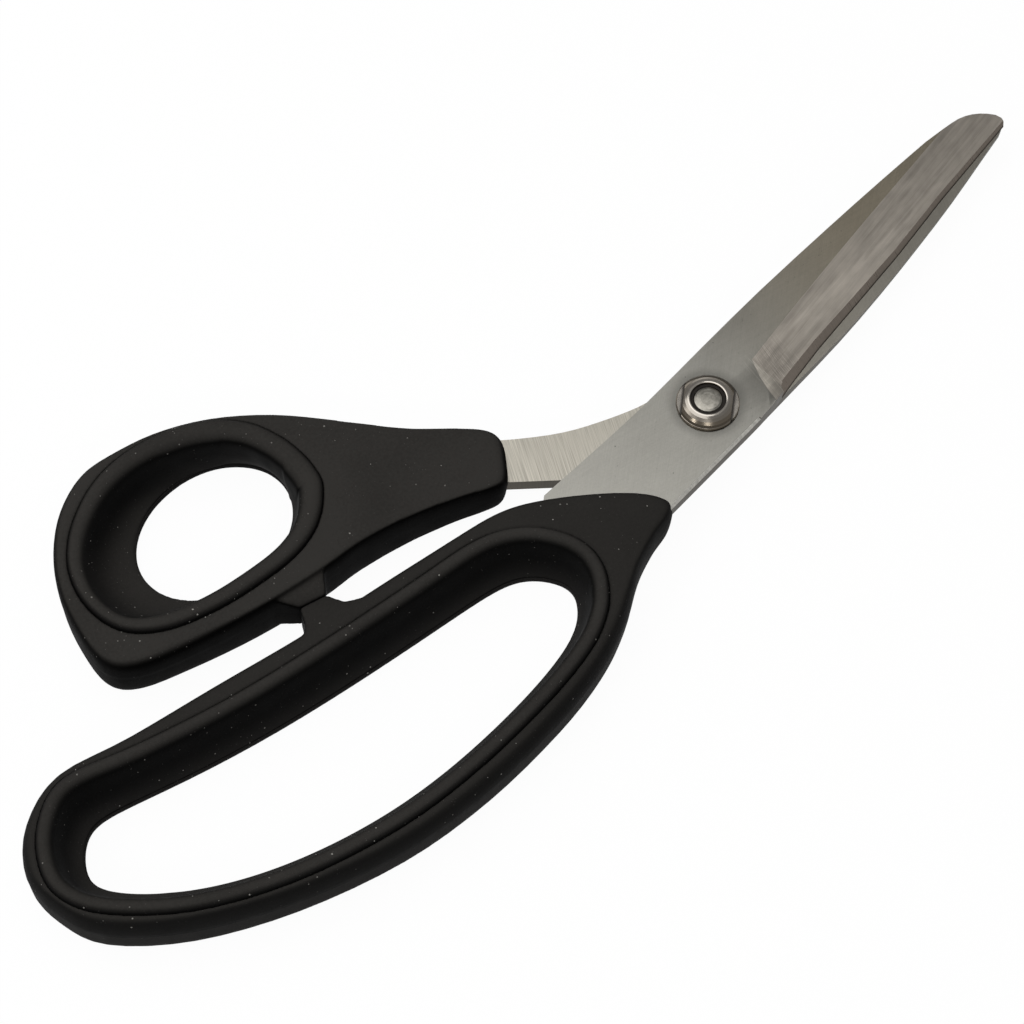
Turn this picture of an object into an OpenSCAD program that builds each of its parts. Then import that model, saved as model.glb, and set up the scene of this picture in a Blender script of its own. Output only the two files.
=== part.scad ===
// Bent-handle fabric shears, lying on their side, closed.
// The origin is the centre of the outer face of the pivot screw's head. +Z is the pivot axis and points
// out of the nut, +X runs to the blade tips and +Y to the thumb bow. Millimetres.

/* [Blades] */
// From the pivot to the end of the finger blade
reach = 80.2; // [78:0.2:83]
// Thickness of the blade stock
stock = 2.6; // [2.2:0.1:3]
// From the pivot to the plunge of the grinds
ricasso = 10.4; // [9.4:0.2:11.6]
// Spine of the finger blade ahead of the pivot, from the closing line
spine_half = 8.2; // [7.8:0.1:9]
// Radius of the nose of the finger blade
nose_r = 10.5; // [9.5:0.1:11.5]
// Radius of the wheel that hollows the outer faces
wheel_r = 60; // [45:5:120]
// Steepness of the hollow where it leaves the flat at the plunge, in degrees
plunge_tilt = 11.8; // [10:0.2:13]
// Steepness of the hollow where it leaves the flat near the tip, in degrees
tip_tilt = 17.2; // [15:0.2:17.6]
// Length of the ramp with which the hollow plunges in
ramp_l = 4; // [2:0.5:5]
// How far the wheel is lifted at the start of that ramp
ramp_h = 1.3; // [1:0.1:1.6]
// Steepness of the relief along the back of the thumb blade, in degrees
relief_a = 30; // [24:1:40]
// Steepness of the cutting bevel, in degrees
bevel_a = 50; // [40:1:60]
// Radius of the rounded end of the cutting bevel
bevel_end_r = 2; // [1.2:0.2:2.6]
// How far the honed edge lies inside the ground outline
hone = 0.05; // [0.02:0.01:0.1]
// Depth of the shallow hollow of the inner faces
ride = 0.18; // [0.08:0.02:0.3]
// Length of the hollow of the inner faces
ride_l = 58; // [50:1:62]
// Width of the shank and of the tang of the thumb blade
shank_w = 8.2; // [7.4:0.1:9]
// Diameter of the holes in the tangs, which the handles fill
tang_hole_d = 3; // [2:0.2:3.6]

/* [Handles] */
// From the blades' common plane to the underside of both bows
bow_half = 6; // [5.4:0.1:6.6]
// From that plane to the top of the hard shells
bow_rise = 5.2; // [4.8:0.1:5.8]
// Half thickness of both necks where the steel comes out
neck_half = 4.2; // [3.8:0.1:4.8]
// Width of the hard lip of the finger bow, from the liner's seat to the opening
finger_lip = 5.9; // [5.4:0.1:6.6]
// Length of the opening of the thumb bow, at the lip
thumb_hole_l = 29.2; // [27:0.2:30.4]
// Width of the opening of the thumb bow, at the lip
thumb_hole_w = 22.4; // [18:0.2:22.6]
// Slant of the opening of the thumb bow, towards the blades
thumb_slant = 5; // [3:0.1:6]
// Thickness of the lip under each soft liner
lip_t = 2.2; // [1.6:0.1:3]
// Height of the soft rims over the shells
rim_h = 1.2; // [0.6:0.1:1.6]
// Width of the soft rim of the finger bow
finger_rim = 2.9; // [2.4:0.1:3.4]
// Width of the soft rim of the thumb bow
thumb_rim = 3.6; // [3:0.1:4.2]
// Depth of the groove along the parting line of the shells
parting = 0.3; // [0.1:0.05:0.4]
// Angle of the faces where the closing lugs meet, in degrees
stop_a = 162.2; // [161.8:0.1:162.6]
// From the blades' common plane to the top of those faces
stop_rise = 2.6; // [2:0.1:3.4]
// From that plane to the bottom of those faces
stop_drop = 3.5; // [2.4:0.1:4]

/* [Pivot] */
// Diameter of the pivot screw
screw_d = 5; // [4.4:0.1:5.4]
// Width across the two flats that key the screw in the thumb blade
key_w = 4.2; // [3.6:0.1:4.3]
// Diameter of the screw's head
head_d = 10.6; // [9:0.1:12]
// Thickness of the screw's head
head_h = 2.4; // [2:0.1:2.8]
// Width of the driver slot
slot_w = 1.2; // [0.8:0.1:1.4]
// Diameter of the nut's flange
nut_d = 10.8; // [9.5:0.1:12]
// Height of the nut up to its rim
nut_h = 1.9; // [1.7:0.1:2.4]
// Width across the nut's two flats
nut_flats = 8.4; // [8:0.1:9]
// Inner diameter of the nut's collar
collar_d = 6.1; // [5.8:0.1:6.4]
// Radial running clearance of the screw in the finger blade
running = 0.04; // [0.01:0.01:0.1]

/* [Hidden] */

steel = [0.72, 0.71, 0.69];
shell = [0.12, 0.12, 0.12];
soft = [0.2, 0.19, 0.19];

// The blades slide on each other in the plane z = mid, and both handles are laid out about it
mid = head_h + stock;
underside = mid - bow_half;
seat = underside + lip_t;
seam = mid + bow_rise;
nut_z = mid + stock;

// ---- Curves in plan ----

function unit(v) = v / norm(v);
function moved(p, v) = [for (q = p) q + v];
function flipped(p) = [for (q = p) [q.x, -q.y]];
function knot(p, i) = p[(i + len(p)) % len(p)];
function spline_at(a, b, c, d, t) =
    0.5 * (2 * b + (c - a) * t + (2 * a - 5 * b + 4 * c - d) * t * t + (3 * b - a - 3 * c + d) * t * t * t);
// A smooth closed curve through the points p, with k steps from each to the next
function closed_curve(p, k) = [for (i = [0 : len(p) - 1], j = [0 : k - 1])
    spline_at(knot(p, i - 1), knot(p, i), knot(p, i + 1), knot(p, i + 2), j / k)];
// A smooth open curve through the points p
function open_curve(p, k) = concat([for (i = [0 : len(p) - 2], j = [0 : k - 1])
    spline_at(p[max(i - 1, 0)], p[i], p[i + 1], p[min(i + 2, len(p) - 1)], j / k)], [p[len(p) - 1]]);
// A closed counterclockwise curve moved inwards by d
function inset(p, d) = [for (i = [0 : len(p) - 1])
    let (t = unit(knot(p, i + 1) - knot(p, i - 1)))
    p[i] + d * [-t.y, t.x]];
// A closed curve evened out n times, so its corners round over
function evened(p, n) = n == 0 ? p : evened([for (i = [0 : len(p) - 1])
    (knot(p, i - 1) + 2 * p[i] + knot(p, i + 1)) / 4], n - 1);

// ---- Blades ----
// Both are shaped with the inner face at z = 0, the outer face up and the cutting edge at -Y.

finger_tip = [reach - 0.9, -0.5];
finger_edge = [[15.6, -7], [22.5, -6.1], [33, -5.2], [46, -4.05], [60, -2.3], finger_tip];
finger_choil = [[ricasso + 0.1, -7.75], [ricasso + 2.6, -7.55]];
// Centre of the arc of the nose, which tops out nose_h over the closing line
nose_h = 6;
nose_mid = [reach - nose_r * cos(33), nose_h - nose_r];
finger_tang = [[-31.9, 8.5], [-33.4, 7.4], [-35.2, 5.6], [-33.5, 0.5], [-32.9, -5.2], [-31.6, -8.4]];
finger_holes = [[-26.6, -4.6], [-29.4, 2.8]];
// The line where the hollow of the outer face leaves the flat
finger_hollow = [[ricasso + 1.6, 0.2], [60, 5.3]];
heel_break = [-20, -8.87];

finger_outline = concat(
    finger_choil, finger_edge,
    [[reach - 0.25, 0.05], [reach - 0.05, 0.75]],
    [for (a = [37 : 7.8 : 84]) nose_mid + nose_r * [cos(a), sin(a)]],
    open_curve([[66, 6.75], [54, 7.35], [40, 7.85], [23, spine_half], [8, spine_half - 0.15],
        [-8, spine_half - 0.45], [-20, 8.05]], 2),
    finger_tang,
    open_curve([[-19, -8.85], [-4, -8.65], [4, -8.5], [8, -8.2]], 2));

thumb_tip = [reach - 0.5, 0.1];
thumb_edge = [[17, -7], [35, -6.4], [55, -4.8], [69, -2.95], thumb_tip];
thumb_choil = [[ricasso + 0.4, -7.6], [ricasso + 3.2, -7.35]];
thumb_hollow = [[ricasso + 1.6, -0.5], [60, 5]];
// The line that the relief along the back follows, and its height over the inner face there
thumb_relief = [[14, 9.4], [66, 2.4]];
relief_h = 0.9;
// The shank leaves the ricasso in a curve and runs straight into the handle in this direction
tang_dir = unit([-0.69, 0.725]);
tang_start = [-27.4, 21.6];
tang_side = tang_start - shank_w * [tang_dir.y, -tang_dir.x];
thumb_holes = [for (t = [8, 14.5]) (tang_start + tang_side) / 2 + t * tang_dir];

thumb_outline = concat(
    thumb_choil, thumb_edge,
    open_curve(flipped([[reach - 2.7, -0.9], [72, -1.85], [61, -3.8], [50, -5.3], [38, -6.6], [26, -7.4],
        [14, -7.55], [0, -7.6], [-9.5, -7.5], [-13.2, -5.5], [-16.8, -1.6], [-21.8, 4.3], [-27.4, 10],
        tang_side]), 2),
    flipped([tang_side + 19 * tang_dir, tang_start + 18.5 * tang_dir + [0.2, -1.6]]),
    open_curve(flipped([tang_start, [-25.5, 19.9], [-21.6, 16.7], [-17.9, 14.2], [-13.9, 12.1],
        [-10.5, 10.5], [-7, 9.1], [-3.5, 8.3], [3, 7.9]]), 2));

// The cutting bevel. One mitred wedge follows the edge e, a hair inside the outline, from the choil c to
// past the tip, so each stretch of the bevel is one plane. It starts with a rounded end, half a hair
// shallower.
module bevel(c, e) {
    start = unit(e[0] - c[0]);
    last = len(e) - 1;
    path = concat([c[0] + bevel_end_r * start], e, [e[last] + 3 * unit(e[last] - e[last - 1])]);
    n = len(path);
    sides = [for (i = [0 : n - 2]) let (u = unit(path[i + 1] - path[i])) [-u.y, u.x]];
    mitres = [for (i = [0 : n - 1])
        let (a = sides[max(i - 1, 0)], b = sides[min(i, n - 2)])
        (a + b) / (1 + a * b)];
    rise = tan(bevel_a);
    wedge = [[hone - 1, -rise], [hone - 1, 2 * stock], [hone + 2 * stock / rise, 2 * stock]];
    points = [for (i = [0 : n - 1], w = wedge) let (q = path[i] + w.x * mitres[i]) [q.x, q.y, w.y]];
    polyhedron(points, concat([[2, 1, 0]],
        [for (i = [0 : n - 2], j = [0 : 2]) let (a = 3 * i + j, b = 3 * i + (j + 1) % 3) [a, b, b + 3, a + 3]],
        [[3 * n - 3, 3 * n - 2, 3 * n - 1]]), convexity = 4);
    translate([path[0].x, path[0].y, 0])
        rotate([0, 0, atan2(start.y, start.x)])
        translate([0, hone, 0])
        rotate([bevel_a, 0, 0])
        translate([0, 0, hone / 2])
        cylinder(h = 2 * stock, r = bevel_end_r, $fn = 48);
}

// The hollow of the outer face. It leaves the flat along the line from p[0] to p[1] and plunges in at p[0].
// It steepens on the way, so the axis of the wheel turns and dips from a to b.
module outer_hollow(p) {
    run = norm(p[1] - p[0]);
    a = wheel_r * [0, -sin(plunge_tilt), cos(plunge_tilt)];
    b = [run, 0, 0] + wheel_r * [0, -sin(tip_tilt), cos(tip_tilt)];
    turn = atan2(b.y - a.y, run);
    dip = asin((a.z - b.z) / norm(b - a));
    translate([p[0].x, p[0].y, stock])
        rotate([0, 0, atan2(p[1].y - p[0].y, p[1].x - p[0].x)])
        translate(a)
        rotate([0, 90 + dip, turn]) {
            cylinder(h = reach + 10, r = wheel_r, $fn = 720);
            translate([0, 0, -ramp_l])
                cylinder(h = ramp_l, r1 = wheel_r - ramp_h, r2 = wheel_r, $fn = 720);
        }
}

// The relief along the back of the thumb blade. It follows the line from p[0] to p[1] at the height
// relief_h and rises inwards.
module back_relief(p) {
    translate([p[0].x, p[0].y, relief_h])
        rotate([0, 0, atan2(p[1].y - p[0].y, p[1].x - p[0].x)])
        rotate([-relief_a, 0, 0])
        translate([-14, -6, 0])
        cube([reach + 4, 16, 6]);
}

// The hollow of the inner face. It starts at y behind the plunge of the outer one, where it is deepest,
// and runs out before the tip.
module inner_hollow(y, angle) {
    translate([ricasso + 2.8, y, ride - wheel_r])
        rotate([0, 0, angle])
        rotate([0, 90 + atan(ride / ride_l), 0])
        cylinder(h = 1.05 * ride_l, r = wheel_r, $fn = 720);
}

module tang_holes(p) {
    for (q = p)
        translate([q.x, q.y, -1])
            cylinder(h = stock + 2, d = tang_hole_d, $fn = 48);
}

// The steel that the handles are moulded round
module finger_stock() {
    translate([0, 0, mid]) difference() {
        linear_extrude(stock) polygon(finger_outline);
        tang_holes(finger_holes);
    }
}

module thumb_stock() {
    translate([0, 0, mid]) rotate([180, 0, 0]) difference() {
        linear_extrude(stock) polygon(thumb_outline);
        tang_holes(flipped(thumb_holes));
    }
}

module finger_blade() {
    color(steel) difference() {
        finger_stock();
        translate([0, 0, mid]) {
            bevel(finger_choil, finger_edge);
            outer_hollow(finger_hollow);
            inner_hollow(0.6, 2.2);
            translate([0, 0, -1])
                cylinder(h = stock + 2, r = screw_d / 2 + running, $fn = 96);
            // Broken corner of the ricasso
            translate([heel_break.x, heel_break.y, stock])
                rotate([45, 0, 0.7])
                translate([0, -0.35, -0.35])
                cube([24, 0.7, 0.7]);
        }
    }
}

module thumb_blade() {
    color(steel) difference() {
        thumb_stock();
        translate([0, 0, mid]) rotate([180, 0, 0]) {
            bevel(thumb_choil, thumb_edge);
            outer_hollow(thumb_hollow);
            back_relief(thumb_relief);
            inner_hollow(0.4, 0);
            translate([0, 0, -1]) intersection() {
                cylinder(h = stock + 2, d = screw_d, $fn = 96);
                translate([-5, -key_w / 2, 0])
                    cube([10, key_w, 10]);
            }
        }
    }
}

// ---- Handles ----
// Outer edges of the shells, counterclockwise from the neck. The third value is the half thickness there.
// Each seat is that of the soft liner, row by row.
finger_rows = [
    [-18.3, -8, neck_half], [-19.8, -4, neck_half], [-24.6, 1.5, neck_half], [-31.6, 7.6, neck_half],
    [-38, 11.4, 4.7], [-46, 13.6, 5.4], [-60, 16.6, bow_half], [-78, 20.2, bow_half],
    [-95, 24.4, bow_half], [-110, 28, bow_half], [-123, 31.6, bow_half], [-132.5, 29.3, bow_half],
    [-138.4, 23.2, bow_half], [-139.4, 15.5, bow_half], [-136.8, 7.2, bow_half], [-127, -2.5, bow_half],
    [-112, -11.4, bow_half], [-94, -18.1, bow_half], [-77, -20.9, bow_half], [-60, -21.1, bow_half],
    [-48, -19.6, bow_half], [-39.5, -16.8, 5.6], [-31, -12.3, 4.8], [-24.8, -10.4, neck_half],
    [-20.6, -9.7, neck_half]];
finger_seat = [
    [-35.1, -5.4], [-35.1, -3], [-35.9, 0.2], [-38.4, 4.6],
    [-42.6, 8.3], [-48.6, 10.7], [-60, 12.7], [-78, 16.1],
    [-95, 20], [-111, 25.1], [-123.5, 29.7], [-131.5, 27.1],
    [-136.6, 21.6], [-138.2, 15.5], [-135.3, 8.2], [-125.5, -1.8],
    [-111, -10.2], [-93.3, -16.1], [-77, -18.4], [-60, -18.6],
    [-48.5, -17.3], [-42.2, -14.9], [-38.6, -12.1], [-36.5, -9.4],
    [-35.6, -7.4]];

thumb_rows = [
    [-31.6, 17.2, neck_half], [-29, 20.6, neck_half], [-29.2, 23.4, neck_half], [-32.5, 27.5, neck_half],
    [-37.8, 33, 4.4], [-44.6, 42, 5], [-51.6, 51.4, 5.6], [-59.4, 58.9, bow_half],
    [-67.8, 64.2, bow_half], [-75.7, 67.1, bow_half], [-82.3, 67.9, bow_half], [-89.3, 65.6, bow_half],
    [-95.3, 61, bow_half], [-99.9, 54.9, bow_half], [-103, 47.5, bow_half], [-104.3, 40, bow_half],
    [-101, 35.4, bow_half], [-92, 31.5, bow_half], [-80, 27.8, bow_half], [-67.5, 25.1, bow_half],
    [-59.5, 23.9, 5.6], [-50.5, 21.3, 5], [-42.5, 18, 4.5], [-37.2, 15.3, neck_half],
    [-34.4, 14.7, neck_half]];
thumb_seat = [
    [-55.6, 37.4], [-54.8, 40], [-54.4, 42.6], [-54.3, 45.2],
    [-54.6, 48.3], [-56, 53.2], [-59.5, 58], [-64.6, 61.7],
    [-71.1, 64.2], [-77, 65.1], [-82.6, 64.6], [-88, 62.7],
    [-92.8, 59.8], [-96.6, 55.7], [-98.9, 50.2], [-99.1, 44.4],
    [-97.2, 39.8], [-92.3, 35.7], [-84.5, 32.6], [-76.5, 30.9],
    [-69.5, 30.2], [-64, 31], [-60.2, 32.8], [-57.8, 34.7],
    [-56.5, 36]];
// The opening of the thumb bow is an ellipse. Each point of it is in the direction, seen from the
// middle of the liner, of the point of the seat that it is matched with.
thumb_mid = [-76.8, 47.7];
function thumb_opening(p) =
    let (d = p - thumb_mid, e = unit([d.x / 22.6, d.y / 17.5]), c = cos(3), k = sin(3))
    thumb_mid + [thumb_slant, -0.5] + [thumb_hole_l * e.x * c + thumb_hole_w * e.y * k,
        thumb_hole_w * e.y * c - thumb_hole_l * e.x * k] / 2;

steps = 4;
finger_o = closed_curve(finger_rows, steps);
finger_s = closed_curve(finger_seat, steps);
finger_m = evened(moved(inset(finger_s, finger_lip), [1.45, 0.2]), 9);
thumb_o = closed_curve(thumb_rows, steps);
thumb_s = closed_curve(thumb_seat, steps);
thumb_m = [for (p = thumb_s) thumb_opening(p)];

// Section of a shell at one row: the lip with the seat of the liner, the top, the rounded outer wall
// with the groove of the parting line, and the underside. The top falls in a soft curve from the liner
// to the edge, which is rounded r.x in and r.y down.
function shell_section(s, m, o, r) =
    let (e = [o.x, o.y], u = unit(e - s), w = norm(e - s), rise = min(o.z, bow_rise))
    let (rx = min(r.x, 0.85 * w), rz = min(r.y, rise - 0.7), drop = mid - o.z)
    let (fall = [for (t = [0.35, 0.7]) [w - (w - rx) * t, seam - (bow_rise - rise) * t * t * (3 - 2 * t)]])
    let (top = [for (a = [90, 64, 42, 20, 0]) [rx * (1 - cos(a)), mid + rise - rz * (1 - sin(a))]])
    let (wall = [[0, mid + 0.2], [parting, mid], [0.1, mid - 0.2]])
    let (foot = [for (a = [0, 35, 65, 90]) [0.3 + 1.5 * (1 - cos(a)), drop + 2.2 * (1 - sin(a))]])
    concat([[m.x, m.y, seat], [s.x, s.y, seat], [s.x, s.y, seam]],
        [for (q = concat(fall, top, wall, foot)) [e.x - u.x * q[0], e.y - u.y * q[0], q[1]]],
        [let (q = m + unit(e - m) * 0.8) [q.x, q.y, underside], [m.x, m.y, underside + 0.8]]);

// Section of a liner: its seat in the shell, the raised rim, and the wall of the opening, which drops
// steeply from the rim and flares out to the lip. v points inwards from the seat, one millimetre long.
function liner_section(s, m, v, w) =
    let (rim = [[0, -0.25], [0.05, 0.35], [0.17, 0.8], [0.38, 1], [0.62, 0.9], [0.84, 0.5], [1, -0.25]])
    let (wall = [[0.12, 0.25], [0.27, 0.48], [0.5, 0.72], [0.75, 0.88]])
    concat([[s.x, s.y, seat]],
        [for (r = rim) let (q = s + v * w * r[0]) [q.x, q.y, seam + rim_h * r[1]]],
        [for (d = wall) let (q = (s + v * w) * (1 - d.x) + m * d.x) [q.x, q.y, seam - (seam - seat) * d.y]],
        [[m.x, m.y, seat]]);

// A ring-shaped solid: rows[i] is one closed section, and each is joined to the next
module ring_loft(rows) {
    n = len(rows);
    m = len(rows[0]);
    polyhedron([for (r = rows) each r], [for (i = [0 : n - 1], j = [0 : m - 1])
        let (k = (j + 1) % m, l = (i + 1) % n)
        let (a = i * m + j, b = i * m + k, c = l * m + j, d = l * m + k)
        each [[a, b, d], [a, d, c]]], convexity = 8);
}

module bow_shell(s, m, o, r) {
    ring_loft([for (i = [len(s) - 1 : -1 : 0]) shell_section(s[i], m[i], o[i], r)]);
}

module bow_liner(s, m, w, lean) {
    v = moved(inset(s, 1), lean);
    ring_loft([for (i = [0 : len(s) - 1]) liner_section(s[i], m[i], v[i] - s[i], w)]);
}

// A block with a top and a bottom of four corners each: a and b are its two ends, at the heights za, zb
module block(a, za, b, zb) {
    hull() polyhedron(concat([for (z = za, q = a) [q.x, q.y, z]], [for (z = zb, q = b) [q.x, q.y, z]]),
        [[0, 1, 5], [0, 5, 4], [2, 3, 7], [2, 7, 6], [0, 4, 6], [0, 6, 2],
            [1, 3, 7], [1, 7, 5], [4, 5, 7], [4, 7, 6], [0, 2, 3], [0, 3, 1]]);
}

// A closing lug. It stands on the shell between the points p, spreads to the points f at its foot, and
// ends in the stretch of the radial plane at stop_a between the radii stop_r.
module lug(p, f) {
    end = [for (d = stop_r) d * [cos(stop_a), sin(stop_a)]];
    zp = [mid - bow_rise + 0.2, mid + bow_rise - 0.2];
    ze = [mid - stop_drop, mid + stop_rise];
    waist = 0.65;
    block(p, zp, end, ze);
    block(f, zp, waist * p + (1 - waist) * end, waist * zp + (1 - waist) * ze);
}

stop_r = [73.5, 78.5];
finger_lug = [[-69, 16.9], [-78.2, 18.6]];
finger_foot = [[-65.4, 15.8], [-79.4, 18.6]];
thumb_lug = [[-66.8, 26.2], [-78.3, 28.9]];
thumb_foot = [[-65.4, 26.4], [-80.4, 29.7]];

module finger_handle() {
    color(shell) difference() {
        union() {
            bow_shell(finger_s, finger_m, finger_o, [2.2, 4.5]);
            lug(finger_lug, finger_foot);
        }
        finger_stock();
    }
}

module finger_grip() {
    color(soft) bow_liner(finger_s, finger_m, finger_rim, [0, 0]);
}

module thumb_handle() {
    color(shell) difference() {
        union() {
            bow_shell(thumb_s, thumb_m, thumb_o, [1.5, 2.6]);
            lug(thumb_lug, thumb_foot);
        }
        thumb_stock();
    }
}

module thumb_grip() {
    color(soft) bow_liner(thumb_s, thumb_m, thumb_rim, [-0.23, -0.02]);
}

// ---- Pivot ----

module pivot_screw() {
    tip_z = nut_z + nut_h - 0.15;
    color(steel) difference() {
        union() {
            rotate_extrude($fn = 96)
                polygon([[0, 0], [head_d / 2 - 0.7, 0], [head_d / 2 - 0.2, 0.2], [head_d / 2, 0.7],
                    [head_d / 2, head_h], [0, head_h]]);
            intersection() {
                cylinder(h = mid, d = screw_d, $fn = 96);
                translate([-5, -key_w / 2, 0])
                    cube([10, key_w, mid]);
            }
            translate([0, 0, mid])
                cylinder(h = tip_z - 0.5 - mid, d = screw_d, $fn = 96);
            translate([0, 0, tip_z - 0.5])
                rotate_extrude($fn = 96)
                polygon([[0, 0], [screw_d / 2, 0], [screw_d / 2 - 0.15, 0.22], [screw_d / 2 - 0.5, 0.36],
                    [screw_d / 4, 0.46], [0, 0.5]]);
        }
        translate([-head_d, -slot_w / 2, -1])
            cube([2 * head_d, slot_w, 1 + head_h / 2]);
    }
}

module lock_nut() {
    r = nut_d / 2;
    c = collar_d / 2;
    color(steel) translate([0, 0, nut_z]) difference() {
        rotate_extrude($fn = 96)
            polygon([[screw_d / 2, 0], [r - 0.12, 0], [r, 0.12], [r, 0.36], [r - 0.14, 0.5],
                [r - 0.22, 0.55], [r - 0.5, 0.9], [r - 0.95, 1.3], [r - 1.45, nut_h - 0.27],
                [c + 0.5, nut_h - 0.07], [c + 0.25, nut_h], [c + 0.06, nut_h - 0.06],
                [c, nut_h - 0.2], [c, nut_h - 0.9], [screw_d / 2, nut_h - 0.9]]);
        for (a = [35, 215])
            rotate([0, 0, a])
                translate([-r, nut_flats / 2, 0.5])
                cube([nut_d, 3, nut_h]);
    }
}

module lock_ring() {
    color([0.08, 0.08, 0.08]) translate([0, 0, nut_z + nut_h - 0.9]) difference() {
        cylinder(h = 0.45, d = collar_d, $fn = 96);
        translate([0, 0, -1])
            cylinder(h = 3, d = screw_d, $fn = 96);
    }
}

finger_blade();
thumb_blade();
finger_handle();
finger_grip();
thumb_handle();
thumb_grip();
pivot_screw();
lock_nut();
lock_ring();
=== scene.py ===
import math

import bpy
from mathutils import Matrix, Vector


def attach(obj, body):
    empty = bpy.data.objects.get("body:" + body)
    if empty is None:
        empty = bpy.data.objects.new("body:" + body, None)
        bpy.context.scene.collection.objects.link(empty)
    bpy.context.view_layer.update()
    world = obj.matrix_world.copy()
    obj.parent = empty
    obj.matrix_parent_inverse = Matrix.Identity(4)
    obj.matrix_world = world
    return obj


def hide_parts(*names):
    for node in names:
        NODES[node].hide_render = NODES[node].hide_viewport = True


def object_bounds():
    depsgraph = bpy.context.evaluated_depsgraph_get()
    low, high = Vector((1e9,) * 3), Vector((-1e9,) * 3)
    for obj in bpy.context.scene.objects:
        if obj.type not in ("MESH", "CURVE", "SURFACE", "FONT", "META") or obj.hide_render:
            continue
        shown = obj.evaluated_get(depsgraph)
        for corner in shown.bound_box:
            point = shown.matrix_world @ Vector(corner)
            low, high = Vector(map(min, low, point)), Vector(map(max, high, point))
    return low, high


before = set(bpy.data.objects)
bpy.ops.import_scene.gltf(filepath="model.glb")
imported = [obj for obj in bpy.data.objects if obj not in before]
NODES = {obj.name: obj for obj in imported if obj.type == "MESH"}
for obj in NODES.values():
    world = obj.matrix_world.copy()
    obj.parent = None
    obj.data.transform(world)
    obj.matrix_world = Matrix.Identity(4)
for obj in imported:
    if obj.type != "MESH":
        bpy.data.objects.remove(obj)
cad_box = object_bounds()
MM = 0.001
SKY = 0.34

# Places on the shears, in millimetres
CLOSING_PLANE = 5.0     # height of the plane in which the blades slide on each other
PLUNGE = 10.4           # from the pivot to the start of the hollows
LINER_JOINT = 1.3       # height of the joint under the soft liners
NUT_FLATS = 4.2         # from the pivot's axis to each wrench flat of the nut
NUT_TURN = 125          # the way the wrench flats look, in degrees


# ---- Camera, light and floor ----

def make_camera():
    """The camera looks at the middle of the shears from the front left, well above them."""
    azimuth, elevation = math.radians(-47.5), math.radians(61.5)
    back = Vector((math.sin(azimuth) * math.cos(elevation), -math.cos(azimuth) * math.cos(elevation),
                   math.sin(elevation)))
    bpy.ops.object.camera_add()
    camera = bpy.context.active_object
    camera.data.sensor_width = 36
    camera.data.lens = 136.2
    camera.data.clip_start = 0.05
    camera.location = Vector((-36.8, 11.3, 5.0)) * MM + back * 650 * MM
    camera.rotation_euler = (-back).to_track_quat("-Z", "Y").to_euler()
    bpy.context.scene.camera = camera


class Value:
    """A number or a vector that varies over a surface. Sums written with it add Math nodes."""

    def __init__(self, finish, socket):
        self.finish, self.socket = finish, socket

    def math(self, operation, first, second):
        return self.finish.node("ShaderNodeMath", {"operation": operation}, [first, second])

    def __add__(self, other):
        return self.math("ADD", self, other)

    def __sub__(self, other):
        return self.math("SUBTRACT", self, other)

    def __rsub__(self, other):
        return self.math("SUBTRACT", other, self)

    def __mul__(self, other):
        return self.math("MULTIPLY", self, other)

    def __lt__(self, other):
        return self.math("LESS_THAN", self, other)

    __radd__, __rmul__ = __add__, __mul__

    def ramp(self, start, end):
        """Rises softly from 0 to 1 between start and end."""
        return self.finish.node("ShaderNodeMapRange", {"interpolation_type": "SMOOTHSTEP"},
                                {"Value": self, "From Min": start, "From Max": end})

    def at_most(self, other):
        return self.math("MINIMUM", self, other)


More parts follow.
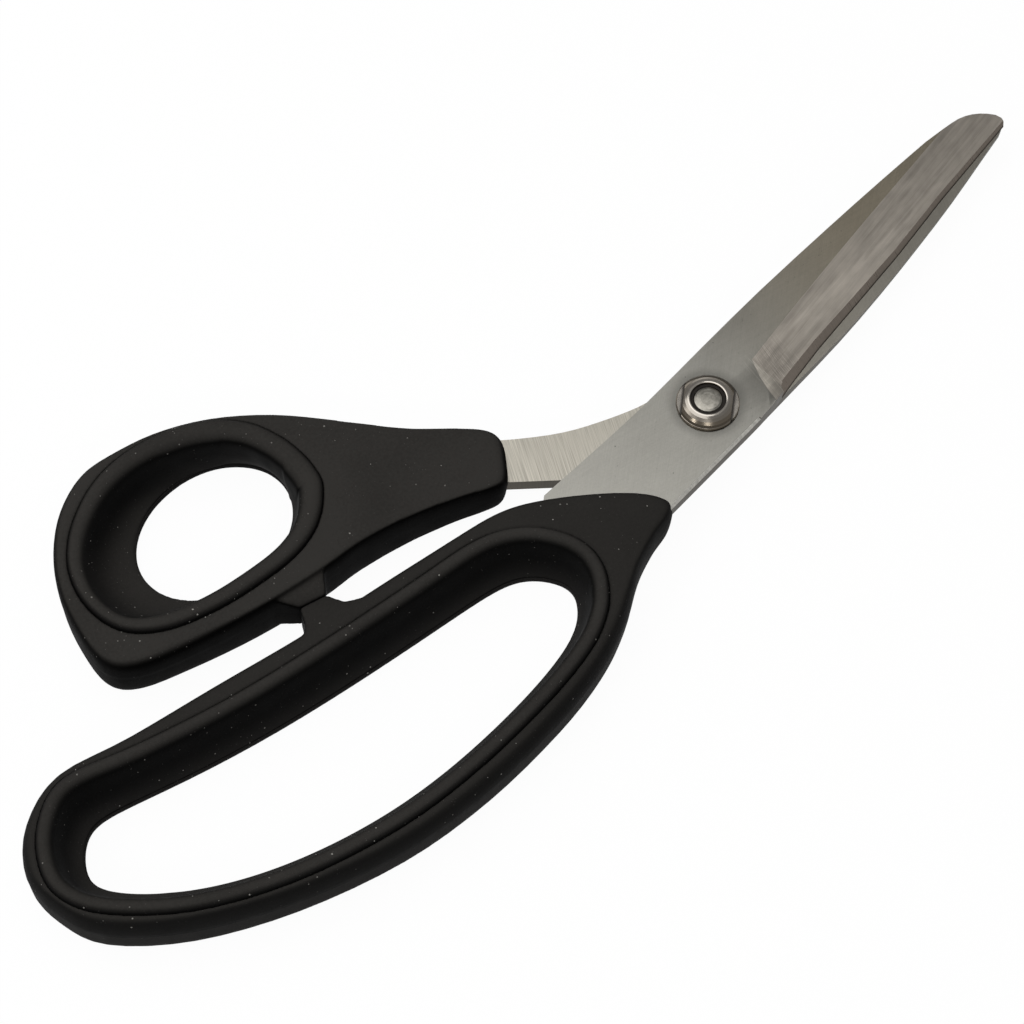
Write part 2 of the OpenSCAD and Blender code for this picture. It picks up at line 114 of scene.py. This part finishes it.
class Finish:
    """One material: its nodes, and the settings of its shader."""

    def __init__(self, name, **constants):
        self.material = bpy.data.materials.new(name)
        self.material.use_nodes = True
        self.tree = self.material.node_tree
        self.shader = self.tree.nodes["Principled BSDF"]
        for socket, value in constants.items():
            self.shader.inputs[socket.replace("_", " ")].default_value = value

    def node(self, kind, settings=None, inputs=(), output=0):
        """Adds a node, sets it up, then fills its sockets, and gives back one of its outputs."""
        made = self.tree.nodes.new(kind)
        for setting, value in (settings or {}).items():
            setattr(made, setting, value)
        named = inputs.items() if isinstance(inputs, dict) else enumerate(inputs)
        for socket, value in named:
            if isinstance(value, Value):
                self.tree.links.new(value.socket, made.inputs[socket])
            else:
                made.inputs[socket].default_value = value
        return Value(self, made.outputs[output])

    def feed(self, socket, value):
        self.tree.links.new(value.socket, self.shader.inputs[socket])

    def place(self, size=(1, 1, 1), turn=(0, 0, 0), centre=(0, 0, 0)):
        """Object coordinates in steps of that size, in metres, turned by those degrees about centre."""
        here = self.node("ShaderNodeTexCoord", output="Object")
        return self.node("ShaderNodeMapping", {"vector_type": "TEXTURE"},
                         {"Vector": here, "Location": centre, "Scale": size,
                          "Rotation": [math.radians(angle) for angle in turn]})

    def part(self, vector, axis):
        """One coordinate of a vector."""
        return self.node("ShaderNodeSeparateXYZ", None, [vector], "XYZ".index(axis))

    def along(self, axis):
        """One coordinate of the piece, in millimetres."""
        return self.part(self.node("ShaderNodeTexCoord", output="Object"), axis) * 1000

    def facing(self, axis):
        """How far the surface faces that way, from -1 to 1."""
        return self.part(self.node("ShaderNodeTexCoord", output="Normal"), axis)

    def clouds(self, size, turn=(0, 0, 0), detail=2.0):
        """A soft random pattern about 0.5, with patches of that size in metres."""
        return self.node("ShaderNodeTexNoise", None,
                         {"Vector": self.place(size, turn), "Scale": 1.0, "Detail": detail})

    def specks(self, spacing, width, share):
        """Scattered grains: a share of the cells of that spacing holds one, up to that wide, in metres."""
        cell = {"Vector": self.place(), "Scale": 1 / spacing}
        away = self.node("ShaderNodeTexVoronoi", None, cell, "Distance")
        pick = self.node("ShaderNodeSeparateColor", None,
                         [self.node("ShaderNodeTexVoronoi", None, cell, "Color")])
        size = (pick - (1 - share)) * (0.5 * width / spacing / share)
        return away < size

    def mix(self, factor, first, second):
        """Fades from the first colour to the second."""
        return self.node("ShaderNodeMix", {"data_type": "RGBA"}, {0: factor, 6: first, 7: second}, 2)

    def relief(self, height, depth):
        """Raises the surface by height, in units of depth, in metres."""
        self.feed("Normal", self.node("ShaderNodeBump", None, {"Height": height, "Distance": depth}))


def add_lamp(name, place, size, energy, rotation=None):
    """A rectangular lamp, aimed at the pivot unless it is given a rotation."""
    aim = rotation or Vector(place).to_track_quat("Z", "Y").to_euler()
    bpy.ops.object.light_add(type="AREA", location=place, rotation=aim)
    lamp = bpy.context.active_object
    lamp.name = name
    lamp.data.shape = "RECTANGLE"
    lamp.data.size, lamp.data.size_y = size
    lamp.data.energy = energy


def make_studio():
    """A softbox over the back of the table, two small lamps low on the left, a plain grey room and a
    big sheet of white paper."""
    bpy.context.scene.view_settings.view_transform = "Standard"
    world = bpy.data.worlds.new("studio")
    bpy.context.scene.world = world
    world.use_nodes = True
    background = world.node_tree.nodes["Background"]
    background.inputs["Color"].default_value = (1, 1, 1, 1)
    background.inputs["Strength"].default_value = SKY

    add_lamp("softbox", (-0.247, 0.455, 0.8), (0.9, 1.3), 6.0, (0, 0, math.radians(22.8)))
    add_lamp("left_lamp", (-0.87, 0.1, 0.68), (0.16, 0.16), 0.9)
    add_lamp("front_lamp", (-0.6, -0.55, 0.75), (0.24, 0.12), 1.2)

    bpy.ops.mesh.primitive_plane_add(size=20, location=(0, 0, cad_box[0].z))
    floor = bpy.context.active_object
    floor.name = "floor"
    paper = Finish("floor_paper", Base_Color=(0.7, 0.7, 0.7, 1), Roughness=0.9)
    seen = [paper.node("ShaderNodeLightPath", output=ray)
            for ray in ("Is Camera Ray", "Is Glossy Ray", "Is Transmission Ray")]
    white = paper.node("ShaderNodeEmission", None, {"Color": (1, 1, 1, 1), "Strength": 1.02})
    matt = Value(paper, paper.shader.outputs[0])
    shown = paper.node("ShaderNodeMixShader", None,
                       [0.94 * (seen[0] + seen[1] + seen[2]).at_most(1.0), matt, white])
    paper.tree.links.new(shown.socket, paper.tree.nodes["Material Output"].inputs["Surface"])
    floor.data.materials.append(paper.material)


# ---- Finishes ----

def black_plastic(name, top, side, under, fade, line, grain, dusty):
    """Moulded black plastic. What faces up is painted lighter than the walls: painted top light, with a
    thin layer of dust and grains in it. The wall's colour goes from under to side between the two heights
    of fade, a painted bounce light that makes its lower part lighter, and a fine joint runs round it at the
    height line. Heights are in millimetres."""
    finish = Finish(name, Roughness=0.55, Specular_IOR_Level=0.012)
    height = finish.along("Z")
    up = finish.facing("Z")
    # Painted bounce light: each wall is lighter below the fade than above it.
    wall = finish.mix(height.ramp(*fade), under, side)
    upright = (1 - up.ramp(0.3, 0.7)) * up.ramp(-0.7, -0.3)
    joint = height.ramp(line - 0.3, line - 0.1) * (1 - height.ramp(line + 0.1, line + 0.3)) * upright
    wall = finish.mix(0.9 * joint, wall, (0.0005, 0.0005, 0.0005, 1))
    # Painted top light together with dust: what faces up is lighter than the walls.
    dust_and_top_light = up.ramp(0.3, 1.0) * (0.55 + 0.75 * finish.clouds([22 * MM] * 3)) \
        * (0.75 + 0.5 * finish.clouds([0.5 * MM] * 3, detail=4.0))
    colour = finish.mix(dust_and_top_light, wall, top)
    lies = up.ramp(-0.2, 0.5) * finish.clouds([5 * MM] * 3).ramp(0.35, 0.65)
    grains = finish.specks(0.8 * MM, 0.32 * MM, dusty) * lies
    powder = finish.specks(0.4 * MM, 0.15 * MM, 2 * dusty) * lies
    colour = finish.mix(0.6 * powder, colour, (0.11, 0.105, 0.1, 1))
    finish.feed("Base Color", finish.mix(grains, colour, (0.27, 0.26, 0.24, 1)))
    finish.feed("Roughness", 0.5 + 0.16 * finish.clouds([3 * MM] * 3))
    finish.relief(finish.clouds([grain] * 3, detail=3.0) + 2.0 * grains, 0.03 * MM)
    return finish.material


def steel(name, colour, roughness, streaks, contrast=0.4, depth=0.004, pits=0.0, shading=None, calm=None,
          tarnish_and_warm_reflection=None):
    """Ground steel. Each streak is (size, turn, share): grinding lines of that size, in millimetres, and
    direction. Pits is the share of the surface's cells with a rust pit. Shading takes the finish and
    gives a factor that dims it from place to place, with painted shade and painted highlight besides
    scratches, calm one that weakens the lines, and tarnish_and_warm_reflection says how brown the steel
    is: tarnished on the flats, and a painted warm reflection on the nut. Depth is that of the lines, in
    millimetres."""
    finish = Finish(name, Metallic=1.0, Roughness=roughness)
    lines = sum(share * finish.clouds([side * MM for side in size], (0, 0, turn), 4.0)
                for size, turn, share in streaks)
    dull = finish.clouds([11 * MM] * 3)
    drawn = 2 * contrast * (lines - 0.5)
    if calm:
        drawn = drawn * calm(finish)
    shade = 1 + drawn + 0.24 * (dull - 0.5)
    if pits:
        shade = shade * (1 - 0.5 * finish.specks(1.4 * MM, 0.28 * MM, pits))
    if shading:
        shade = shade * shading(finish)
    tint = finish.node("ShaderNodeCombineXYZ", None, [shade, shade, shade])
    bare = tuple(colour) + (1,)
    if tarnish_and_warm_reflection:
        bare = finish.mix(tarnish_and_warm_reflection(finish), bare, (1.1 * colour[0], colour[1], 0.85 * colour[2], 1))
    finish.feed("Base Color", finish.node("ShaderNodeMix", {"data_type": "RGBA", "blend_type": "MULTIPLY"},
                                          {0: 1.0, 6: bare, 7: tint}, 2))
    finish.feed("Roughness", roughness - 0.08 + 0.16 * lines)
    finish.relief(lines, depth * MM)
    return finish.material


def plunge_scratches(finish, up):
    """The scratches that cross the blade where its hollow starts."""
    along, across = finish.along("X"), up * finish.along("Y")
    zone = along.ramp(PLUNGE - 2.4, PLUNGE + 1.6) * (1 - along.ramp(PLUNGE + 4.1, PLUNGE + 9.6)) \
        * (1 - across.ramp(-1.5, 2))
    marks = finish.clouds((0.13 * MM, 5 * MM, 1 * MM), (0, 0, -12 * up), 3.0).ramp(0.5, 0.68)
    return 1 + 0.5 * zone * (marks - 0.35)


def flat_shading(finish, up):
    """The flats get painted shade that darkens them towards the tip, and a painted shadow round the nut."""
    along, across = finish.along("X"), finish.along("Y")
    away = finish.node("ShaderNodeMath", {"operation": "SQRT"}, [along * along + across * across])
    painted_nut_shadow = 1 - away.ramp(5.2, 7.2 + 0.8 * finish.clouds([2 * MM] * 3))
    # Painted shade: the flats darken towards the tip, and the painted shadow darkens the ring round the
    # nut.
    return plunge_scratches(finish, up) * (1 - 0.25 * along.ramp(-8, 20)) * (1 - 0.35 * painted_nut_shadow)


def nut_shading(finish):
    """The collar's rim carries a painted highlight, and the rest is dimmed a little. Its inside, the sides
    and the steps at the two wrench flats carry painted shade, and the slopes a painted dark reflection."""
    height, up = finish.along("Z"), finish.facing("Z")
    wall = (1 - up.ramp(0.05, 0.4)) * height.ramp(8.05, 8.15)
    slope = 1 - up.ramp(0.6, 0.93)
    turn = math.radians(NUT_TURN)
    across = finish.node("ShaderNodeMath", {"operation": "ABSOLUTE"},
                         [math.cos(turn) * finish.along("X") + math.sin(turn) * finish.along("Y")])
    step = across.ramp(NUT_FLATS - 0.1, NUT_FLATS + 0.05) \
        * (1 - across.ramp(NUT_FLATS + 0.15, NUT_FLATS + 0.6))
    # Painted shade on the walls, slopes and steps, and a painted highlight on the collar's rim.
    return (1 - 0.8 * wall) * (1 - 0.6 * slope) * (1 - 0.8 * step) * (0.85 + 0.45 * height.ramp(9.42, 9.49))


# ---- Pieces ----

def alone(piece):
    """Makes piece the only one selected, and the active one."""
    bpy.ops.object.select_all(action="DESELECT")
    piece.select_set(True)
    bpy.context.view_layer.objects.active = piece


def merged_copy(node, name):
    """A copy of a CAD node with its loose triangles joined."""
    piece = bpy.data.objects.new(name, NODES[node].data.copy())
    bpy.context.scene.collection.objects.link(piece)
    alone(piece)
    bpy.ops.object.mode_set(mode="EDIT")
    bpy.ops.mesh.select_all(action="SELECT")
    bpy.ops.mesh.remove_doubles(threshold=1e-6)
    bpy.ops.mesh.customdata_custom_splitnormals_clear()
    bpy.ops.mesh.mark_sharp(clear=True)
    bpy.ops.object.mode_set(mode="OBJECT")
    return piece


def apply(piece, kind, **settings):
    modifier = piece.modifiers.new(kind.lower(), kind)
    for setting, value in settings.items():
        setattr(modifier, setting, value)
    bpy.ops.object.modifier_apply(modifier=modifier.name)


def stand_in(piece, node, body):
    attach(piece, body)
    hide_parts(node)


def choose_faces(piece, rule):
    """Selects, in edit mode, the faces whose normal and centre fit the rule."""
    bpy.ops.object.mode_set(mode="EDIT")
    bpy.ops.mesh.select_mode(type="FACE")
    bpy.ops.mesh.select_all(action="DESELECT")
    bpy.ops.object.mode_set(mode="OBJECT")
    for face in piece.data.polygons:
        face.select = rule(face.normal, face.center)
    bpy.ops.object.mode_set(mode="EDIT")


def make_shell(node, body, finish):
    """A hard moulded shell: all its corners are run over into each other, as in a mould."""
    piece = merged_copy(node, node + "_shell")
    piece.data.remesh_voxel_size = 0.36 * MM
    bpy.ops.object.voxel_remesh()
    apply(piece, "SMOOTH", iterations=12, factor=0.5)
    bpy.ops.object.shade_smooth_by_angle(angle=math.radians(40))
    piece.material_slots[0].material = finish
    stand_in(piece, node, body)


def make_liner(node, body, finish):
    """A soft liner: its bands become one smooth surface, and its outside is pressed into the shell."""
    piece = merged_copy(node, node + "_liner")
    bpy.ops.object.mode_set(mode="EDIT")
    bpy.ops.mesh.select_all(action="SELECT")
    bpy.ops.mesh.tris_convert_to_quads(face_threshold=math.radians(50), shape_threshold=math.radians(70))
    bpy.ops.mesh.select_mode(type="EDGE")
    bpy.ops.mesh.select_all(action="DESELECT")
    bpy.ops.mesh.edges_select_sharp(sharpness=math.radians(60))
    bpy.ops.transform.edge_crease(value=0.9)
    choose_faces(piece, lambda normal, centre: abs(normal.z) < 0.05)
    bpy.ops.transform.shrink_fatten(value=0.22 * MM)
    bpy.ops.object.mode_set(mode="OBJECT")
    apply(piece, "SUBSURF", levels=2, render_levels=2)
    bpy.ops.object.shade_smooth_by_angle(angle=math.radians(35))
    piece.material_slots[0].material = finish
    stand_in(piece, node, body)


def mark_sharp_over(degrees):
    """In edit mode, marks every edge that folds by more than that."""
    bpy.ops.mesh.select_mode(type="EDGE")
    bpy.ops.mesh.select_all(action="DESELECT")
    bpy.ops.mesh.edges_select_sharp(sharpness=math.radians(degrees))
    bpy.ops.mesh.mark_sharp()


def make_blade(node, body, up, finishes):
    """A blade. Up is 1 when its outer face looks up and -1 when it looks down. The hollow blends into the
    flat where it runs in, and all other corners stay crisp. Later finishes go over earlier ones."""
    piece = merged_copy(node, node + "_ground")
    rules = {
        "flat": lambda normal, centre: abs(normal.z) > 0.9995,
        "hollow": lambda normal, centre: 0.82 < up * normal.z <= 0.9995,
        "run_in": lambda normal, centre: 0.82 < up * normal.z <= 0.9995 and normal.x > 0.2,
        "inner": lambda normal, centre: up * normal.z < -0.9,
        "bevel": lambda normal, centre: 0.2 < up * normal.z <= 0.82 and up * normal.y < -0.3,
        "corner": lambda normal, centre: 0.5 < up * normal.z < 0.82 and centre.x < 9 * MM,
        "shank": lambda normal, centre: normal.z > 0.9995,
    }
    bpy.ops.object.mode_set(mode="EDIT")
    mark_sharp_over(11)
    bpy.ops.object.mode_set(mode="OBJECT")
    choose_faces(piece, rules["run_in"])
    bpy.ops.mesh.mark_sharp(clear=True)
    mark_sharp_over(30)
    bpy.ops.object.mode_set(mode="OBJECT")
    bpy.ops.object.shade_smooth()
    apply(piece, "WEIGHTED_NORMAL", weight=100, keep_sharp=True)
    piece.data.materials.clear()
    for finish in finishes.values():
        piece.data.materials.append(finish)
    for index, name in enumerate(finishes):
        if name in rules:
            choose_faces(piece, rules[name])
            piece.active_material_index = index
            bpy.ops.object.material_slot_assign()
            bpy.ops.object.mode_set(mode="OBJECT")
    stand_in(piece, node, body)


def plastic_finishes():
    """The black finishes of the shells and the liners, with painted top light and painted shade on the
    walls.
    The finger shell is a little darker on top, and the thumb shell's walls carry a darker painted shade."""
    dust_and_top_light, thin_dust_and_top_light = (0.034, 0.032, 0.0295, 1), (0.0265, 0.025, 0.023, 1)
    deep, dark = (0.002, 0.0019, 0.0018, 1), (0.004, 0.0039, 0.0038, 1)
    dim, pale = (0.009, 0.0087, 0.0084, 1), (0.018, 0.0172, 0.0165, 1)
    at_joint = (CLOSING_PLANE - 0.3, CLOSING_PLANE + 0.3)
    return {
        "finger_handle": black_plastic("finger_shell", thin_dust_and_top_light, dim, pale, at_joint, CLOSING_PLANE,
                                       0.35 * MM, 0.16),
        "thumb_handle": black_plastic("thumb_shell", dust_and_top_light, deep, dim, (0, 6), CLOSING_PLANE,
                                      0.35 * MM, 0.16),
        "grip": black_plastic("grip_black", dust_and_top_light, dark, pale, (0, 6.5), LINER_JOINT, 0.5 * MM, 0.24),
    }


def blade_finishes(side, up):
    """The finishes of one blade, by the rules of make_blade. The first is for the faces that fit no rule.
    The hollow has painted shade near its plunge, and the bevel painted shade along its edge, where it meets
    the other blade."""
    def scratched(finish):
        return plunge_scratches(finish, up)

    # Painted shade: the hollow is dimmer near its plunge.
    def hollow_shading(finish):
        return scratched(finish) * (0.86 + 0.14 * finish.along("X").ramp(14, 34))

    # Painted shade: the bevel darkens towards its edge, where it meets the other blade.
    def bevel_shading(finish):
        return 0.3 + 0.7 * (up * (finish.along("Z") - CLOSING_PLANE)).ramp(0.08, 0.3)

    grind = [((14, 0.7, 1), 6 * up, 0.4), ((3.5, 1.4, 1), 6 * up, 0.35), ((20, 0.12, 1), 6 * up, 0.25)]
    return {
        # Painted shade: the stock's side walls, and other faces that fit no rule, are given a dark steel.
        "edge": steel(side + "_shaded_stock_edge", (0.07, 0.062, 0.05), 0.45, [((0.3, 0.3, 4), 0, 1.0)]),
        "flat": steel(side + "_flat", (0.325, 0.316, 0.285), 0.3,
                      [((0.3, 0.3, 1), 0, 0.35), ((7, 0.12, 1), 33, 0.4), ((14, 0.3, 1), -14, 0.25)],
                      0.26, pits=0.3, shading=lambda finish: flat_shading(finish, up),
                      tarnish_and_warm_reflection=lambda finish: finish.along("X").ramp(0, 50)),
        "hollow": steel(side + "_hollow", (0.43, 0.39, 0.34), 0.38, grind, 0.7,
                        shading=hollow_shading),
        "run_in": steel(side + "_run_in", (0.46, 0.425, 0.37), 0.42, grind, 0.5, shading=scratched),
        "inner": steel(side + "_inner", (0.3, 0.29, 0.255), 0.3, [((0.2, 20, 1), 35, 1.0)]),
        "bevel": steel(side + "_bevel", (0.245, 0.21, 0.178), 0.3, [((0.15, 3, 3), 0, 1.0)], 0.25,
                       shading=bevel_shading),
        # Painted highlight: the chamfer by the pivot is given a bright steel.
        "corner": steel(side + "_corner", (0.8, 0.78, 0.72), 0.4, [((0.5, 0.5, 4), 0, 1.0)]),
    }


def shank_steel():
    """The coarse cross grinding of the thumb blade's shank, which fades out towards the pivot."""
    return steel("shank_grind", (0.43, 0.405, 0.35), 0.32,
                 [((0.11, 12, 1), -32, 0.8), ((0.5, 16, 1), -30, 0.2)], 0.95, 0.01, 0.06,
                 shading=lambda finish: 1 - 0.38 * finish.along("X").ramp(-6, 8),
                 calm=lambda finish: 1 - 0.85 * finish.along("X").ramp(-4, 8))


def finish_pivot():
    """The nut's slopes are brown and dark with a painted warm reflection, the screw's end is mottled, and
    the ring between them is dark.
    """
    # Painted warm reflection: the nut's slopes turn brown, and nut_shading paints its highlight and shade.
    nut_steel = steel("nut_steel", (0.4, 0.37, 0.33), 0.2, [((1.2, 1.2, 1.2), 0, 1.0)], 0.15, 0.002,
                      shading=nut_shading,
                      tarnish_and_warm_reflection=lambda finish: 2 * (1 - finish.facing("Z").ramp(0.5, 0.95)))
    screw_steel = steel("screw_steel", (0.3, 0.285, 0.25), 0.34,
                        [((0.9, 0.9, 0.9), 0, 0.6), ((0.3, 0.3, 0.3), 0, 0.4)], 0.9)
    ring = Finish("ring_brown", Roughness=0.6, Specular_IOR_Level=0.2)
    ring.feed("Base Color", ring.mix(ring.clouds([0.8 * MM] * 3), (0.006, 0.005, 0.004, 1),
                                     (0.022, 0.017, 0.013, 1)))
    for node, finish in (("lock_nut", nut_steel), ("pivot_screw", screw_steel),
                         ("lock_ring", ring.material)):
        NODES[node].material_slots[0].material = finish


make_camera()
make_studio()

make_blade("finger_blade", "finger_side", 1, blade_finishes("finger", 1))
make_blade("thumb_blade", "thumb_side", -1, {**blade_finishes("thumb", -1), "shank": shank_steel()})

plastics = plastic_finishes()
for side, body in (("finger", "finger_side"), ("thumb", "thumb_side")):
    make_shell(side + "_handle", body, plastics[side + "_handle"])
    make_liner(side + "_grip", body, plastics["grip"])

finish_pivot()
